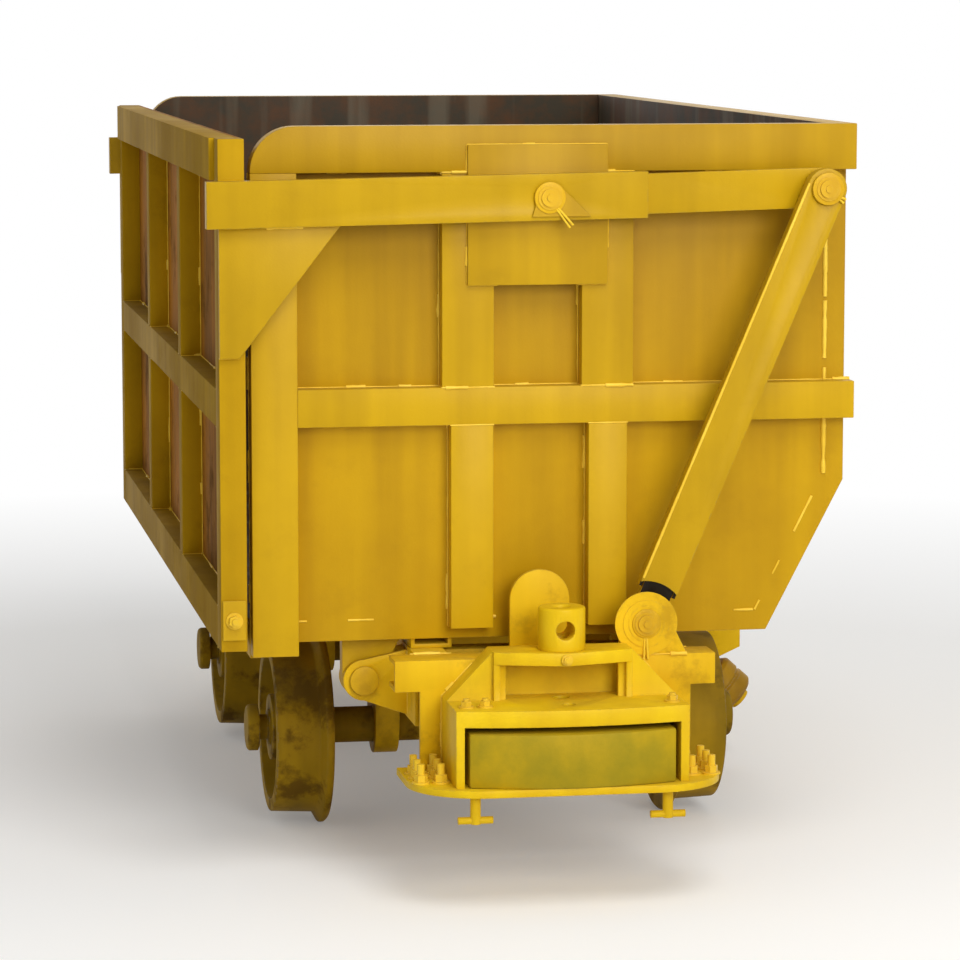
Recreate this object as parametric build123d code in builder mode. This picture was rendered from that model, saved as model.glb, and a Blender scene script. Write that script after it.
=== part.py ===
"""Side dump ore cart for narrow gauge mine track.

The tub stands on a low frame with two wheelsets. It hinges along its left foot, and the
left wall is a door that hangs from two levers. A rod at each end ties the lever to the
frame, so the door swings out by itself as the tub tips.

Frame of the part, in millimetres: +X to the side away from the door, +Y along the track,
+Z up, origin on the floor under the middle of the wheelbase. The front end is at -Y, and
the rear end is its mirror image. A depth is counted outwards from the face of an end wall.
"""

from build123d import *

from math import cos, hypot, radians, sin
import os

os.makedirs("parts", exist_ok=True)

# Running gear
wheelbase = 1000
wheel_centre_z = 200
flange_radius = 200
tread_radius = 178
tread_drop = 4
flange_back_x = 352
flange_thickness = 28
tread_width = 87
flange_back_round = 7
flange_front_round = 12
rim_inner_radius = 148
wheel_web = 18
hub_radius = 68
hub_inner_x = 344
hub_outer_x = 464
axle_radius = 37
cap_neck_x = 468
cap_neck_radius = 26
cap_x = (488, 512)
cap_radius = 48
cap_chamfer = 5
fit_gap = 0.3
bearing_inner_x = 200
bearing_length = 50
bearing_radius = 60
bearing_top_width = 150

# Frame
sill_outer_x = 260
sill_flange = 65
sill_bottom_z = 316
sill_top_z = 456
sill_web = 8
sill_flange_thickness = 9
beam_width = 60
beam_wall = 8
headstock_half_width = 310
headstock_height = 60
headstock_wall = 10
headstock_back = 56
headstock_front = 132
hanger_x = (200, 262)
hanger_thickness = 12

# Coupler and buffer, depths from the end wall
housing_half = 221
housing_front = 305
housing_wall = 16
housing_back_wall = 10
housing_bottom_z = 243
table_top_z = 388
table_thickness = 12
table_nose = 326
lip_height = 31
lip_back = 288
hood_half = 133
hood_top_z = 480
hood_side = 16
crown_thickness = 24
crown_reach = 205
crown_nose = 242
prop_x = (121, 133)
portal_back = 182
portal_wall = 10
window_half = 108
coupling_pin_depth = 184
coupling_pin_radius = 16
table_hole_depth = 262
table_hole_radius = 13
socket_radius = 45
socket_height = 82
socket_chamfer = 3
socket_window_radius = 18
buffer_side_gap = 9
buffer_back = 205
buffer_shoulder = 306
buffer_nose = 340
buffer_height = 102
buffer_wall = 12
shelf_half = 300
shelf_back = 84
shelf_front = 336
shelf_corner = 140
shelf_thickness = 14
drop_pin_inset = 13
drop_pin_depth = 292
drop_pin_radius = 10
drop_pin_length = 70
drop_handle_radius = 7
drop_handle_length = 66

# Tub section
tub_half_length = 1100
tub_left_x = -568
tub_right_x = 593
tub_bottom_z = 476
tub_top_z = 1460
slope_foot_x = 441
slope_head_z = 768
sheet = 8
rib_depth = 36
rib_width = 60
belt_low_z = 892
belt_height = 72
belt_proud = 10
band_height = 88
band_corner = 86
end_rib_depth = 40
post_width = 88
post_foot_z = 455
upright_foot_z = 500
side_rib_pitch = 390
boss_left_x = -156
boss_right_x = 114
boss_top_drop = 36
boss_height = 266
boss_thickness = 10
bearer_height_gap = 0.3
bearer_wall = 8
left_bearer = (-258, -178)
right_bearer = (200, 260)
lip_width = 20
lip_foot_z = 446

# Tub hinge, along the left foot
hinge_x = -345
hinge_z = 392
hinge_setback = 70
hinge_pin_radius = 20
hinge_eye_radius = 40
hinge_arm_width = 36
hinge_ear_width = 12
hinge_side_gap = 4
hinge_arm_rise = 16
hinge_arm_slant = 14
hinge_arm_step = 12
hinge_ear_inset = 6
hinge_pin_proud = 2
hinge_head_thickness = 8
hinge_head_lip = 8
pin_gap = 0.1

# Door and its linkage
lever_pivot_x = -6
lever_pivot_drop = 135
lever_end_x = 524
lever_end_drop = 121
link_foot = (174, 516)
door_inner_x = -580
door_outer_x = -630
door_top_drop = 22
door_foot_z = 470
door_rail_height = 80
door_end_width = 66
door_upright_y = 365
door_top_rail_proud = 10
lever_back = 56
lever_thin = 20
lever_thick = 30
lever_height = 88
lever_arm_height = 76
lever_step_x = 184
lever_left_x = -654
lever_left_drop = 10
lever_step_rise = 4
gusset_width_top = 230
gusset_width_foot = 38
gusset_drop = 298
gusset_thickness = 10
lever_pin_radius = 22
lever_pin_proud = 2
lever_cap_radius = 30
lever_cap_thickness = 6
end_pin_radius = 17
end_eye_clearance = 7
end_collar_radius = 26
end_washer_radius = 31
end_washer_thickness = 8
washer_play = 1
link_back = 92
link_depth = 30
link_width = 76
link_wall = 6
link_start = 62
tongue_thickness = 12
tongue_half = 30
tongue_overlap = 70
tongue_eye_radius = 34
link_pin_radius = 20
link_washer_radius = 28
link_washer_thickness = 7
link_ear_radius = 46
link_ear_width = 12
link_ear_gap = 4
link_ear_left = 45
link_ear_right = 80
link_ear_shoulder = (42, 18)

# Upright lug between the tub's middle ribs
lug_x = -20
lug_half = 58
lug_crown_z = 557
lug_thickness = 12

# Dump roller
tip_angle = 42
roller_centre = (618, 170)
roller_radius = 50
roller_width = 80
roller_groove = 5
roller_edge = 8
roller_shaft_radius = 16
roller_gap = 0.2
roller_arm_x = 603
roller_arm_depth = 45
roller_arm_width = 70
roller_arm_foot_z = 260
roller_knee_z = 500
roller_boss_radius = 36
roller_boss_length = 45
roller_side_gap = 6
roller_web = 16
roller_groove_half = 6
roller_washer_radius = 24
roller_washer_thickness = 8
roller_neck_front = (32, 22)
roller_neck_back = (-4, 44)
roller_gusset_share = 0.4
roller_gusset_gap = 5

# Values that follow from the ones above
belt_high_z = belt_low_z + belt_height
band_low_z = tub_top_z - band_height
door_top_z = tub_top_z - door_top_drop
boss_high_z = tub_top_z - boss_top_drop
lever_pivot = (lever_pivot_x, tub_top_z - lever_pivot_drop)
lever_end = (lever_end_x, tub_top_z - lever_end_drop)
side_rib_stations = [step * side_rib_pitch for step in (-2, -1, 0, 1, 2)]
hinge_stations = (hinge_setback - tub_half_length, tub_half_length - hinge_setback)


def finish(piece, label):
    """Names a finished piece and writes it as one STEP file."""
    piece.part.label = label
    export_step(piece.part, f"parts/{label}.step")


def end_plane(depth):
    """A plane parallel to the front end wall, that far outside it, with X and Z as its axes."""
    return Plane.XZ.offset(tub_half_length + depth)


def depth_y(depth):
    """The Y of a point at a depth in front of the front end wall."""
    return -tub_half_length - depth


def station_plane(y, width):
    """The plane from which a piece of this width, centred on y, is extruded."""
    return Plane.XZ.offset(-y - width / 2)


def section(inset):
    """Corners of the tub's section, taken in by inset: floor left, slope foot, slope head, top."""
    run = tub_right_x - slope_foot_x
    rise = slope_head_z - tub_bottom_z
    slope = hypot(run, rise)
    on_x = slope_foot_x - inset * rise / slope
    on_z = tub_bottom_z + inset * run / slope
    floor_z = tub_bottom_z + inset
    side_x = tub_right_x - inset
    foot = (on_x + (floor_z - on_z) * run / rise, floor_z)
    head = (side_x, on_z + (side_x - on_x) * rise / run)
    return (tub_left_x, floor_z), foot, head, (side_x, tub_top_z)


def strip(name, outer_inset, inner_inset):
    """Outline of one side of the section between two insets, mitred at its bends."""
    side = ("floor", "slope", "upright").index(name)
    outer = section(outer_inset)
    inner = section(inner_inset)
    return [outer[side], outer[side + 1], inner[side + 1], inner[side]]


def box_between(x, y, z, mode=Mode.ADD):
    """A box given by its low and high value along each axis."""
    with Locations(((x[0] + x[1]) / 2, (y[0] + y[1]) / 2, (z[0] + z[1]) / 2)):
        Box(abs(x[1] - x[0]), abs(y[1] - y[0]), abs(z[1] - z[0]), mode=mode)


def rect_between(x, z, mode=Mode.ADD):
    """A rectangle in a sketch, given by its low and high value along both axes."""
    with Locations(((x[0] + x[1]) / 2, (z[0] + z[1]) / 2)):
        Rectangle(x[1] - x[0], z[1] - z[0], mode=mode)


shell_outer = rib_depth
shell_inner = rib_depth + sheet
inside_half = tub_half_length - sheet


# Wheelsets: two flanged wheels on a turning axle
def wheel_profile():
    """Half section of a wheel: x along the axle, and height over the axle's centre."""
    flange_front_x = flange_back_x + flange_thickness
    tread_end_x = flange_front_x + tread_width
    web_x = flange_front_x + tread_width / 2 - wheel_web
    bore = axle_radius + fit_gap
    return [
        (hub_inner_x, bore),
        (hub_inner_x, hub_radius),
        (web_x, hub_radius),
        (web_x, rim_inner_radius),
        (flange_back_x, rim_inner_radius),
        (flange_back_x, flange_radius - flange_back_round),
        (flange_back_x + flange_back_round, flange_radius),
        (flange_front_x - flange_front_round, flange_radius),
        (flange_front_x, tread_radius),
        (tread_end_x, tread_radius - tread_drop),
        (tread_end_x, rim_inner_radius),
        (web_x + wheel_web, rim_inner_radius),
        (web_x + wheel_web, hub_radius),
        (hub_outer_x, hub_radius),
        (hub_outer_x, bore),
    ]


def axle_profile():
    """Half section of the axle's right half, with the cap outside its wheel."""
    cap_inner_x, cap_outer_x = cap_x
    return [
        (0, 0),
        (0, axle_radius),
        (cap_neck_x, axle_radius),
        (cap_neck_x, cap_neck_radius),
        (cap_inner_x, cap_neck_radius),
        (cap_inner_x, cap_radius),
        (cap_outer_x - cap_chamfer, cap_radius),
        (cap_outer_x, cap_radius - cap_chamfer),
        (cap_outer_x, 0),
    ]


for place, axle_y in (("front", -wheelbase / 2), ("rear", wheelbase / 2)):
    axle_line = Axis((0, axle_y, wheel_centre_z), (1, 0, 0))
    with BuildPart() as wheels:
        with BuildSketch(Plane.XZ.offset(-axle_y)):
            Polygon(*[(x, wheel_centre_z + r) for x, r in wheel_profile()], align=None)
        revolve(axis=axle_line)
        mirror(about=Plane.YZ)
    finish(wheels, f"wheels_{place}")
    with BuildPart() as axle:
        with BuildSketch(Plane.XZ.offset(-axle_y)):
            Polygon(*[(x, wheel_centre_z + r) for x, r in axle_profile()], align=None)
        revolve(axis=axle_line)
        mirror(about=Plane.YZ)
    finish(axle, f"axle_{place}")

# Frame
with BuildPart() as axle_bearings:
    with BuildSketch(Plane.YZ.offset(bearing_inner_x)):
        for axle_y in (-wheelbase / 2, wheelbase / 2):
            with BuildLine():
                half = bearing_top_width / 2
                Polyline(
                    (axle_y - bearing_radius, wheel_centre_z),
                    (axle_y - half, sill_bottom_z),
                    (axle_y + half, sill_bottom_z),
                    (axle_y + bearing_radius, wheel_centre_z),
                )
                ThreePointArc(
                    (axle_y + bearing_radius, wheel_centre_z),
                    (axle_y, wheel_centre_z - bearing_radius),
                    (axle_y - bearing_radius, wheel_centre_z),
                )
            make_face()
            with Locations((axle_y, wheel_centre_z)):
                Circle(axle_radius + fit_gap, mode=Mode.SUBTRACT)
    extrude(amount=bearing_length)
    mirror(about=Plane.YZ)
finish(axle_bearings, "axle_bearings")

frame_half_length = tub_half_length + headstock_back
sill_web_x = sill_outer_x - sill_web
flange_top_z = sill_top_z - sill_flange_thickness
flange_foot_z = sill_bottom_z + sill_flange_thickness
with BuildPart() as sills:
    with BuildSketch(Plane.XZ):
        flange_tip_x = sill_outer_x - sill_flange
        rect_between((flange_tip_x, sill_outer_x), (sill_bottom_z, sill_top_z))
        rect_between((flange_tip_x, sill_web_x), (flange_foot_z, flange_top_z), Mode.SUBTRACT)
    extrude(amount=frame_half_length, both=True)
    mirror(about=Plane.YZ)
finish(sills, "sills")

with BuildPart() as cross_beams:
    for beam_y in (*hinge_stations, -wheelbase / 2, wheelbase / 2):
        with BuildSketch(Plane.YZ.offset(-sill_web_x)):
            half = beam_width / 2
            rect_between((beam_y - half, beam_y + half), (flange_foot_z, flange_top_z))
            half -= beam_wall
            rect_between((beam_y - half, beam_y + half),
                         (flange_foot_z + beam_wall, flange_top_z - beam_wall), Mode.SUBTRACT)
        extrude(amount=2 * sill_web_x)
finish(cross_beams, "cross_beams")

headstock_foot_z = sill_top_z - headstock_height
with BuildPart() as headstocks:
    with BuildSketch(Plane.YZ.offset(-headstock_half_width)):
        back_y = depth_y(headstock_back)
        front_y = depth_y(headstock_front)
        rect_between((front_y, back_y), (headstock_foot_z, sill_top_z))
        rect_between((front_y + headstock_wall, back_y),
                     (headstock_foot_z + headstock_wall, sill_top_z - headstock_wall),
                     Mode.SUBTRACT)
    extrude(amount=2 * headstock_half_width)
    for low_x, high_x in (hanger_x, (-hanger_x[1], -hanger_x[0])):
        box_between((low_x, high_x), (front_y, front_y + hanger_thickness),
                    (housing_bottom_z, headstock_foot_z))
    mirror(about=Plane.XZ)
finish(headstocks, "headstocks")


# Coupler housing: a box open at the front, with a hood, a window and a crown plate on it
def hood_outline(side, low_z, high_z):
    """Outline of the hood across the track, its sides taken in by side."""
    slant = (housing_half - hood_half) / (hood_top_z - table_top_z)
    low_half = housing_half - side - slant * (low_z - table_top_z)
    high_half = housing_half - side - slant * (high_z - table_top_z)
    return [(-low_half, low_z), (low_half, low_z), (high_half, high_z), (-high_half, high_z)]


housing_back = headstock_front
inner_half = housing_half - housing_wall
buffer_half = inner_half - buffer_side_gap
drop_pin_x = buffer_half - drop_pin_inset
crown_foot_z = hood_top_z - crown_thickness
with BuildPart() as coupler_housings:
    box_between((-housing_half, housing_half), (depth_y(housing_front), depth_y(housing_back)),
                (housing_bottom_z, table_top_z))
    with BuildSketch(end_plane(housing_back)):
        Polygon(*hood_outline(0, table_top_z, hood_top_z), align=None)
    extrude(amount=portal_back + portal_wall - housing_back)
    box_between((-inner_half, inner_half),
                (depth_y(housing_front), depth_y(housing_back + housing_back_wall)),
                (housing_bottom_z, table_top_z - table_thickness), Mode.SUBTRACT)
    with BuildSketch(end_plane(housing_back + housing_back_wall)):
        Polygon(*hood_outline(hood_side, table_top_z, crown_foot_z), align=None)
    extrude(amount=portal_back - housing_back - housing_back_wall, mode=Mode.SUBTRACT)
    box_between((-window_half, window_half),
                (depth_y(portal_back + portal_wall), depth_y(portal_back)),
                (table_top_z, crown_foot_z), Mode.SUBTRACT)
    with BuildSketch(Plane.XY.offset(table_top_z - lip_height)):
        with BuildLine():
            Polyline((-inner_half, depth_y(housing_front)), (-inner_half, depth_y(lip_back)),
                     (inner_half, depth_y(lip_back)), (inner_half, depth_y(housing_front)))
            ThreePointArc((inner_half, depth_y(housing_front)), (0, depth_y(table_nose)),
                          (-inner_half, depth_y(housing_front)))
        make_face()
    extrude(amount=lip_height)
    with BuildSketch(Plane.XY.offset(crown_foot_z)):
        Polygon((-hood_half, depth_y(portal_back)), (hood_half, depth_y(portal_back)),
                (hood_half, depth_y(crown_reach)), (0, depth_y(crown_nose)),
                (-hood_half, depth_y(crown_reach)), align=None)
    extrude(amount=crown_thickness)
    for low_x, high_x in (prop_x, (-prop_x[1], -prop_x[0])):
        box_between((low_x, high_x), (depth_y(crown_reach), depth_y(portal_back)),
                    (table_top_z, crown_foot_z))
    for hole_depth, hole_radius in ((coupling_pin_depth, coupling_pin_radius),
                                    (table_hole_depth, table_hole_radius)):
        with BuildSketch(Plane.XY.offset(housing_bottom_z)):
            with Locations((0, depth_y(hole_depth))):
                Circle(hole_radius)
        extrude(amount=hood_top_z - housing_bottom_z, mode=Mode.SUBTRACT)
    mirror(about=Plane.XZ)
finish(coupler_housings, "coupler_housings")

with BuildPart() as pin_sockets:
    with BuildSketch(Plane.XY.offset(hood_top_z)):
        with Locations((0, depth_y(coupling_pin_depth))):
            Circle(socket_radius)
            Circle(coupling_pin_radius, mode=Mode.SUBTRACT)
    extrude(amount=socket_height)
    chamfer(pin_sockets.edges().filter_by(GeomType.CIRCLE).group_by(Axis.Z)[-1], socket_chamfer)
    with BuildSketch(end_plane(coupling_pin_depth - socket_radius)):
        with Locations((0, hood_top_z + socket_height / 2)):
            Circle(socket_window_radius)
    extrude(amount=2 * socket_radius, mode=Mode.SUBTRACT)
    mirror(about=Plane.XZ)
finish(pin_sockets, "pin_sockets")

with BuildPart() as buffer_heads:
    with BuildSketch(Plane.XY.offset(housing_bottom_z)):
        with BuildLine():
            Polyline((-buffer_half, depth_y(buffer_shoulder)), (-buffer_half, depth_y(buffer_back)),
                     (buffer_half, depth_y(buffer_back)), (buffer_half, depth_y(buffer_shoulder)))
            ThreePointArc((buffer_half, depth_y(buffer_shoulder)), (0, depth_y(buffer_nose)),
                          (-buffer_half, depth_y(buffer_shoulder)))
        make_face()
    extrude(amount=buffer_height)
    hollow_half = buffer_half - buffer_wall
    box_between((-hollow_half, hollow_half),
                (depth_y(buffer_shoulder - buffer_wall), depth_y(buffer_back)),
                (housing_bottom_z + buffer_wall, housing_bottom_z + buffer_height - buffer_wall),
                Mode.SUBTRACT)
    mirror(about=Plane.XZ)
finish(buffer_heads, "buffer_heads")

with BuildPart() as buffer_shelves:
    with BuildSketch(Plane.XY.offset(housing_bottom_z - shelf_thickness)) as shelf_plan:
        rect_between((-shelf_half, shelf_half),
                     (depth_y(shelf_front), depth_y(shelf_back)))
        fillet(shelf_plan.vertices().group_by(Axis.Y)[0], shelf_corner)
        for x in (-drop_pin_x, drop_pin_x):
            with Locations((x, depth_y(drop_pin_depth))):
                Circle(drop_pin_radius + fit_gap, mode=Mode.SUBTRACT)
    extrude(amount=shelf_thickness)
    mirror(about=Plane.XZ)
finish(buffer_shelves, "buffer_shelves")

with BuildPart() as drop_pins:
    for x in (-drop_pin_x, drop_pin_x):
        with BuildSketch(Plane.XY.offset(housing_bottom_z - drop_pin_length)):
            with Locations((x, depth_y(drop_pin_depth))):
                Circle(drop_pin_radius)
        extrude(amount=drop_pin_length)
        with BuildSketch(Plane.YZ.offset(x - drop_handle_length / 2)):
            with Locations((depth_y(drop_pin_depth),
                            housing_bottom_z - drop_pin_length + drop_handle_radius)):
                Circle(drop_handle_radius)
        extrude(amount=drop_handle_length)
    mirror(about=Plane.XZ)
finish(drop_pins, "drop_pins")

with BuildPart() as end_lugs:
    with BuildSketch(end_plane(headstock_back)):
        rect_between((lug_x - lug_half, lug_x + lug_half), (sill_top_z, lug_crown_z))
        with Locations((lug_x, lug_crown_z)):
            Circle(lug_half)
    extrude(amount=lug_thickness)
    mirror(about=Plane.XZ)
finish(end_lugs, "end_lugs")

# Tub
with BuildPart() as tub_floor:
    with BuildSketch(Plane.XZ):
        Polygon(*strip("floor", shell_outer, shell_inner), align=None)
    extrude(amount=inside_half, both=True)
finish(tub_floor, "tub_floor")

with BuildPart() as tub_slope:
    with BuildSketch(Plane.XZ):
        Polygon(*strip("slope", shell_outer, shell_inner), align=None)
    extrude(amount=inside_half, both=True)
finish(tub_slope, "tub_slope")

with BuildPart() as tub_side:
    with BuildSketch(Plane.XZ):
        Polygon(*strip("upright", shell_outer, shell_inner), align=None)
    extrude(amount=inside_half, both=True)
finish(tub_side, "tub_side")

with BuildPart() as tub_end_walls:
    with BuildSketch(end_plane(-sheet)) as wall_face:
        Polygon(*section(0), (tub_left_x, tub_top_z), align=None)
        fillet(wall_face.vertices().group_by(Axis.Y)[-1].sort_by(Axis.X)[0], band_corner)
    extrude(amount=sheet)
    mirror(about=Plane.XZ)
finish(tub_end_walls, "tub_end_walls")

with BuildPart() as top_bands:
    with BuildSketch(end_plane(0)) as band_face:
        rect_between((tub_left_x, tub_right_x + belt_proud), (band_low_z, tub_top_z))
        fillet(band_face.vertices().group_by(Axis.Y)[-1].sort_by(Axis.X)[0], band_corner)
    extrude(amount=end_rib_depth)
    mirror(about=Plane.XZ)
finish(top_bands, "top_bands")

post_right_x = tub_left_x + post_width
with BuildPart() as corner_posts:
    with BuildSketch(end_plane(0)):
        rect_between((tub_left_x, post_right_x), (post_foot_z, band_low_z))
    extrude(amount=end_rib_depth)
    mirror(about=Plane.XZ)
finish(corner_posts, "corner_posts")

with BuildPart() as end_belts:
    with BuildSketch(end_plane(0)):
        rect_between((post_right_x, tub_right_x + belt_proud), (belt_low_z, belt_high_z))
    extrude(amount=end_rib_depth)
    mirror(about=Plane.XZ)
finish(end_belts, "end_belts")

# Columns: left edge, right edge, foot, head
end_uprights_table = (
    (-187, -105, upright_foot_z, belt_low_z),
    (80, 155, upright_foot_z, belt_low_z),
    (-204, -104, belt_high_z, band_low_z),
    (66, 166, belt_high_z, band_low_z),
)
with BuildPart() as end_uprights:
    with BuildSketch(end_plane(0)):
        for left_x, right_x, foot_z, head_z in end_uprights_table:
            rect_between((left_x, right_x), (foot_z, head_z))
    extrude(amount=end_rib_depth)
    mirror(about=Plane.XZ)
finish(end_uprights, "end_uprights")

with BuildPart() as boss_plates:
    with BuildSketch(end_plane(end_rib_depth)):
        rect_between((boss_left_x, boss_right_x), (boss_high_z - boss_height, boss_high_z))
    extrude(amount=boss_thickness)
    mirror(about=Plane.XZ)
finish(boss_plates, "boss_plates")

side_rail_x = (tub_right_x - rib_depth, tub_right_x + belt_proud)
with BuildPart() as side_belt:
    box_between(side_rail_x, (-inside_half, inside_half), (belt_low_z, belt_high_z))
finish(side_belt, "side_belt")

with BuildPart() as side_top_rail:
    box_between(side_rail_x, (-inside_half, inside_half), (band_low_z, tub_top_z))
finish(side_top_rail, "side_top_rail")

_, slope_foot, slope_head, _ = section(0)
_, inner_foot, inner_head, _ = section(rib_depth)
with BuildPart() as side_uprights:
    for station in side_rib_stations:
        with BuildSketch(station_plane(station, rib_width)):
            Polygon(slope_head, (slope_head[0], belt_low_z), (inner_head[0], belt_low_z),
                    inner_head, align=None)
            rect_between((inner_head[0], slope_head[0]), (belt_high_z, band_low_z))
        extrude(amount=rib_width)
finish(side_uprights, "side_uprights")

with BuildPart() as slope_ribs:
    for station in side_rib_stations:
        with BuildSketch(station_plane(station, rib_width)):
            Polygon(*strip("slope", 0, rib_depth), align=None)
        extrude(amount=rib_width)
finish(slope_ribs, "slope_ribs")

floor_under_z = tub_bottom_z + rib_depth
bearer_foot_z = sill_top_z + bearer_height_gap
with BuildPart() as floor_ribs:
    for station in side_rib_stations:
        with BuildSketch(station_plane(station, rib_width)):
            rect_between((tub_left_x + lip_width, left_bearer[0]), (tub_bottom_z, floor_under_z))
            rect_between((left_bearer[1], right_bearer[0]), (tub_bottom_z, floor_under_z))
            Polygon((right_bearer[1], tub_bottom_z), slope_foot, inner_foot,
                    (right_bearer[1], floor_under_z), align=None)
        extrude(amount=rib_width)
finish(floor_ribs, "floor_ribs")

with BuildPart() as floor_bearers:
    with BuildSketch(Plane.XZ):
        for low_x, high_x in (left_bearer, right_bearer):
            rect_between((low_x, high_x), (bearer_foot_z, floor_under_z))
            rect_between((low_x + bearer_wall, high_x - bearer_wall),
                         (bearer_foot_z + bearer_wall, floor_under_z - bearer_wall), Mode.SUBTRACT)
    extrude(amount=inside_half, both=True)
finish(floor_bearers, "floor_bearers")

with BuildPart() as door_lip:
    box_between((tub_left_x, tub_left_x + lip_width), (-inside_half, inside_half),
                (lip_foot_z, floor_under_z))
finish(door_lip, "door_lip")

# Hinge between tub and frame
with BuildPart() as hinge_arms:
    for station in hinge_stations:
        with BuildSketch(station_plane(station, hinge_arm_width)):
            Polygon((hinge_x - hinge_eye_radius, hinge_z),
                    (hinge_x - hinge_eye_radius, floor_under_z),
                    (left_bearer[0], floor_under_z), (left_bearer[0], sill_top_z + hinge_arm_rise),
                    (-sill_outer_x - hinge_arm_step, sill_top_z + hinge_arm_rise),
                    (hinge_x + hinge_eye_radius, hinge_z + hinge_arm_slant), align=None)
            with Locations((hinge_x, hinge_z)):
                Circle(hinge_eye_radius)
                Circle(hinge_pin_radius + pin_gap, mode=Mode.SUBTRACT)
        extrude(amount=hinge_arm_width)
finish(hinge_arms, "hinge_arms")

ear_offset = hinge_arm_width / 2 + hinge_side_gap + hinge_ear_width / 2
with BuildPart() as hinge_ears:
    for station in hinge_stations:
        for side in (-1, 1):
            with BuildSketch(station_plane(station + side * ear_offset, hinge_ear_width)):
                Polygon((hinge_x, hinge_z + hinge_eye_radius),
                        (-sill_outer_x, sill_top_z - hinge_ear_inset),
                        (-sill_outer_x, sill_bottom_z + hinge_ear_inset),
                        (hinge_x, hinge_z - hinge_eye_radius), align=None)
                with Locations((hinge_x, hinge_z)):
                    Circle(hinge_eye_radius)
                    Circle(hinge_pin_radius + fit_gap, mode=Mode.SUBTRACT)
            extrude(amount=hinge_ear_width)
finish(hinge_ears, "hinge_ears")

hinge_pin_length = 2 * (ear_offset + hinge_pin_proud) + hinge_ear_width
with BuildPart() as hinge_pins:
    for station in hinge_stations:
        with BuildSketch(station_plane(station, hinge_pin_length)):
            with Locations((hinge_x, hinge_z)):
                Circle(hinge_pin_radius)
        extrude(amount=hinge_pin_length)
        for side in (-1, 1):
            head_y = station + side * (hinge_pin_length + hinge_head_thickness) / 2
            with BuildSketch(station_plane(head_y, hinge_head_thickness)):
                with Locations((hinge_x, hinge_z)):
                    Circle(hinge_pin_radius + hinge_head_lip)
            extrude(amount=hinge_head_thickness)
finish(hinge_pins, "hinge_pins")

# Door
door_half = tub_half_length + lever_back - door_end_width
with BuildPart() as door_panel:
    box_between((door_inner_x - sheet, door_inner_x), (-door_half, door_half),
                (door_foot_z, door_top_z))
finish(door_panel, "door_panel")

door_back_x = door_inner_x - sheet
with BuildPart() as door_posts:
    with BuildSketch(end_plane(lever_back - door_end_width)):
        rect_between((door_outer_x, door_inner_x), (door_foot_z, door_top_z))
    extrude(amount=door_end_width)
    mirror(about=Plane.XZ)
finish(door_posts, "door_posts")

# Columns: foot, head, how far it stands out past the other rails
door_rails_table = (
    (door_foot_z, door_foot_z + door_rail_height, 0),
    (belt_low_z, belt_high_z, 0),
    (door_top_z - door_rail_height, door_top_z, door_top_rail_proud),
)
with BuildPart() as door_rails:
    for foot_z, head_z, proud in door_rails_table:
        box_between((door_outer_x - proud, door_back_x), (-door_half, door_half), (foot_z, head_z))
finish(door_rails, "door_rails")

with BuildPart() as door_uprights:
    for station in (-door_upright_y, door_upright_y):
        for foot_z, head_z in ((door_foot_z + door_rail_height, belt_low_z),
                               (belt_high_z, door_top_z - door_rail_height)):
            box_between((door_outer_x, door_back_x),
                        (station - rib_width / 2, station + rib_width / 2), (foot_z, head_z))
finish(door_uprights, "door_uprights")

# Door lever: a thick arm from the door to its pivot, and a thin one on to the rod's pin
def lever_edge(x, side):
    """Height of the thick arm's lower (-1) or upper (1) edge, which rises away from the door."""
    share = (x - lever_left_x) / (lever_step_x - lever_left_x)
    rise = share * (lever_left_drop + lever_step_rise) - lever_left_drop
    return lever_pivot[1] + side * lever_height / 2 + rise


with BuildPart() as door_levers:
    with BuildSketch(end_plane(lever_back)):
        half = lever_arm_height / 2
        Polygon((lever_pivot[0], lever_pivot[1] - half), (lever_end[0], lever_end[1] - half),
                (lever_end[0], lever_end[1] + half), (lever_pivot[0], lever_pivot[1] + half),
                align=None)
        with Locations(lever_end):
            Circle(half)
    extrude(amount=lever_thin)
    with BuildSketch(end_plane(lever_back)):
        corners = ((lever_left_x, -1), (lever_step_x, -1), (lever_step_x, 1), (lever_left_x, 1))
        Polygon(*[(x, lever_edge(x, side)) for x, side in corners], align=None)
    extrude(amount=lever_thick)
    with BuildSketch(end_plane(lever_back)):
        with Locations(lever_pivot):
            Circle(lever_pin_radius + pin_gap)
    extrude(amount=lever_thick, mode=Mode.SUBTRACT)
    mirror(about=Plane.XZ)
finish(door_levers, "door_levers")

lever_pin_start = end_rib_depth + boss_thickness
lever_pin_end = lever_back + lever_thick + lever_pin_proud
with BuildPart() as lever_pins:
    with BuildSketch(end_plane(lever_pin_start)):
        with Locations(lever_pivot):
            Circle(lever_pin_radius)
    extrude(amount=lever_pin_end - lever_pin_start)
    with BuildSketch(end_plane(lever_pin_end)):
        with Locations(lever_pivot):
            Circle(lever_cap_radius)
    extrude(amount=lever_cap_thickness)
    mirror(about=Plane.XZ)
finish(lever_pins, "lever_pins")

with BuildPart() as door_gussets:
    with BuildSketch(end_plane(lever_back)):
        gusset_right_x = door_outer_x + gusset_width_top
        gusset_low_z = lever_pivot[1] - gusset_drop
        Polygon((door_outer_x, lever_edge(door_outer_x, -1)),
                (door_outer_x, gusset_low_z),
                (door_outer_x + gusset_width_foot, gusset_low_z),
                (gusset_right_x, lever_edge(gusset_right_x, -1)), align=None)
    extrude(amount=gusset_thickness)
    mirror(about=Plane.XZ)
finish(door_gussets, "door_gussets")

# Rod from the lever's free end to the frame: a channel with a tongue
link_run = lever_end[0] - link_foot[0]
link_rise = lever_end[1] - link_foot[1]
link_length = hypot(link_run, link_rise)
link_front = link_back + link_depth


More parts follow.
